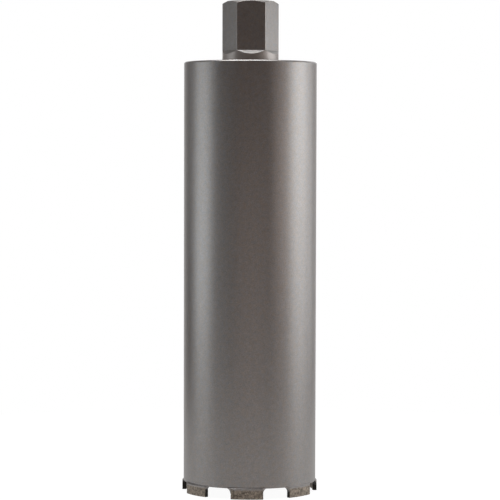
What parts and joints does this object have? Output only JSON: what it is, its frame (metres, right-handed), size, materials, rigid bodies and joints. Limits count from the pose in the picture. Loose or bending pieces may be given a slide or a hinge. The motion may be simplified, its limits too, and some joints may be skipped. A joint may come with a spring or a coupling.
{
  "type": "diamond core bit",
  "caption": "Long painted steel barrel with brazed diamond segments round its open end and a welded hexagonal drive hub with an internal spindle thread.",
  "frame": {"origin": "on the tool axis, in the cutting plane that the segments stand on", "axes": "+Z along the tool axis from the cutting plane towards the drive hub, -Y to the front"},
  "size_m": [0.1142, 0.1136, 0.414],
  "materials": {
    "barrel_paint": "satin metallic bronze-grey paint with a fine mottled grain",
    "hub_paint": "satin metallic bronze-grey paint over milled and turned steel",
    "braze_paint": "brazing alloy under the same bronze-grey paint, slightly lumpy",
    "diamond_matrix": "granular sintered metal, brown-olive, with pale diamond grit"
  },
  "bodies": {
    "root": {"barrel_tube": "barrel_paint", "back_plate": "barrel_paint", "rim_weld": "barrel_paint", "drive_hub": "hub_paint", "hub_weld": "hub_paint", "segment_1": "diamond_matrix", "segment_2": "diamond_matrix", "segment_3": "diamond_matrix", "segment_4": "diamond_matrix", "segment_5": "diamond_matrix", "segment_6": "diamond_matrix", "segment_7": "diamond_matrix", "braze_1": "braze_paint", "braze_2": "braze_paint", "braze_3": "braze_paint", "braze_4": "braze_paint", "braze_5": "braze_paint", "braze_6": "braze_paint", "braze_7": "braze_paint"}
  },
  "joints": []
}
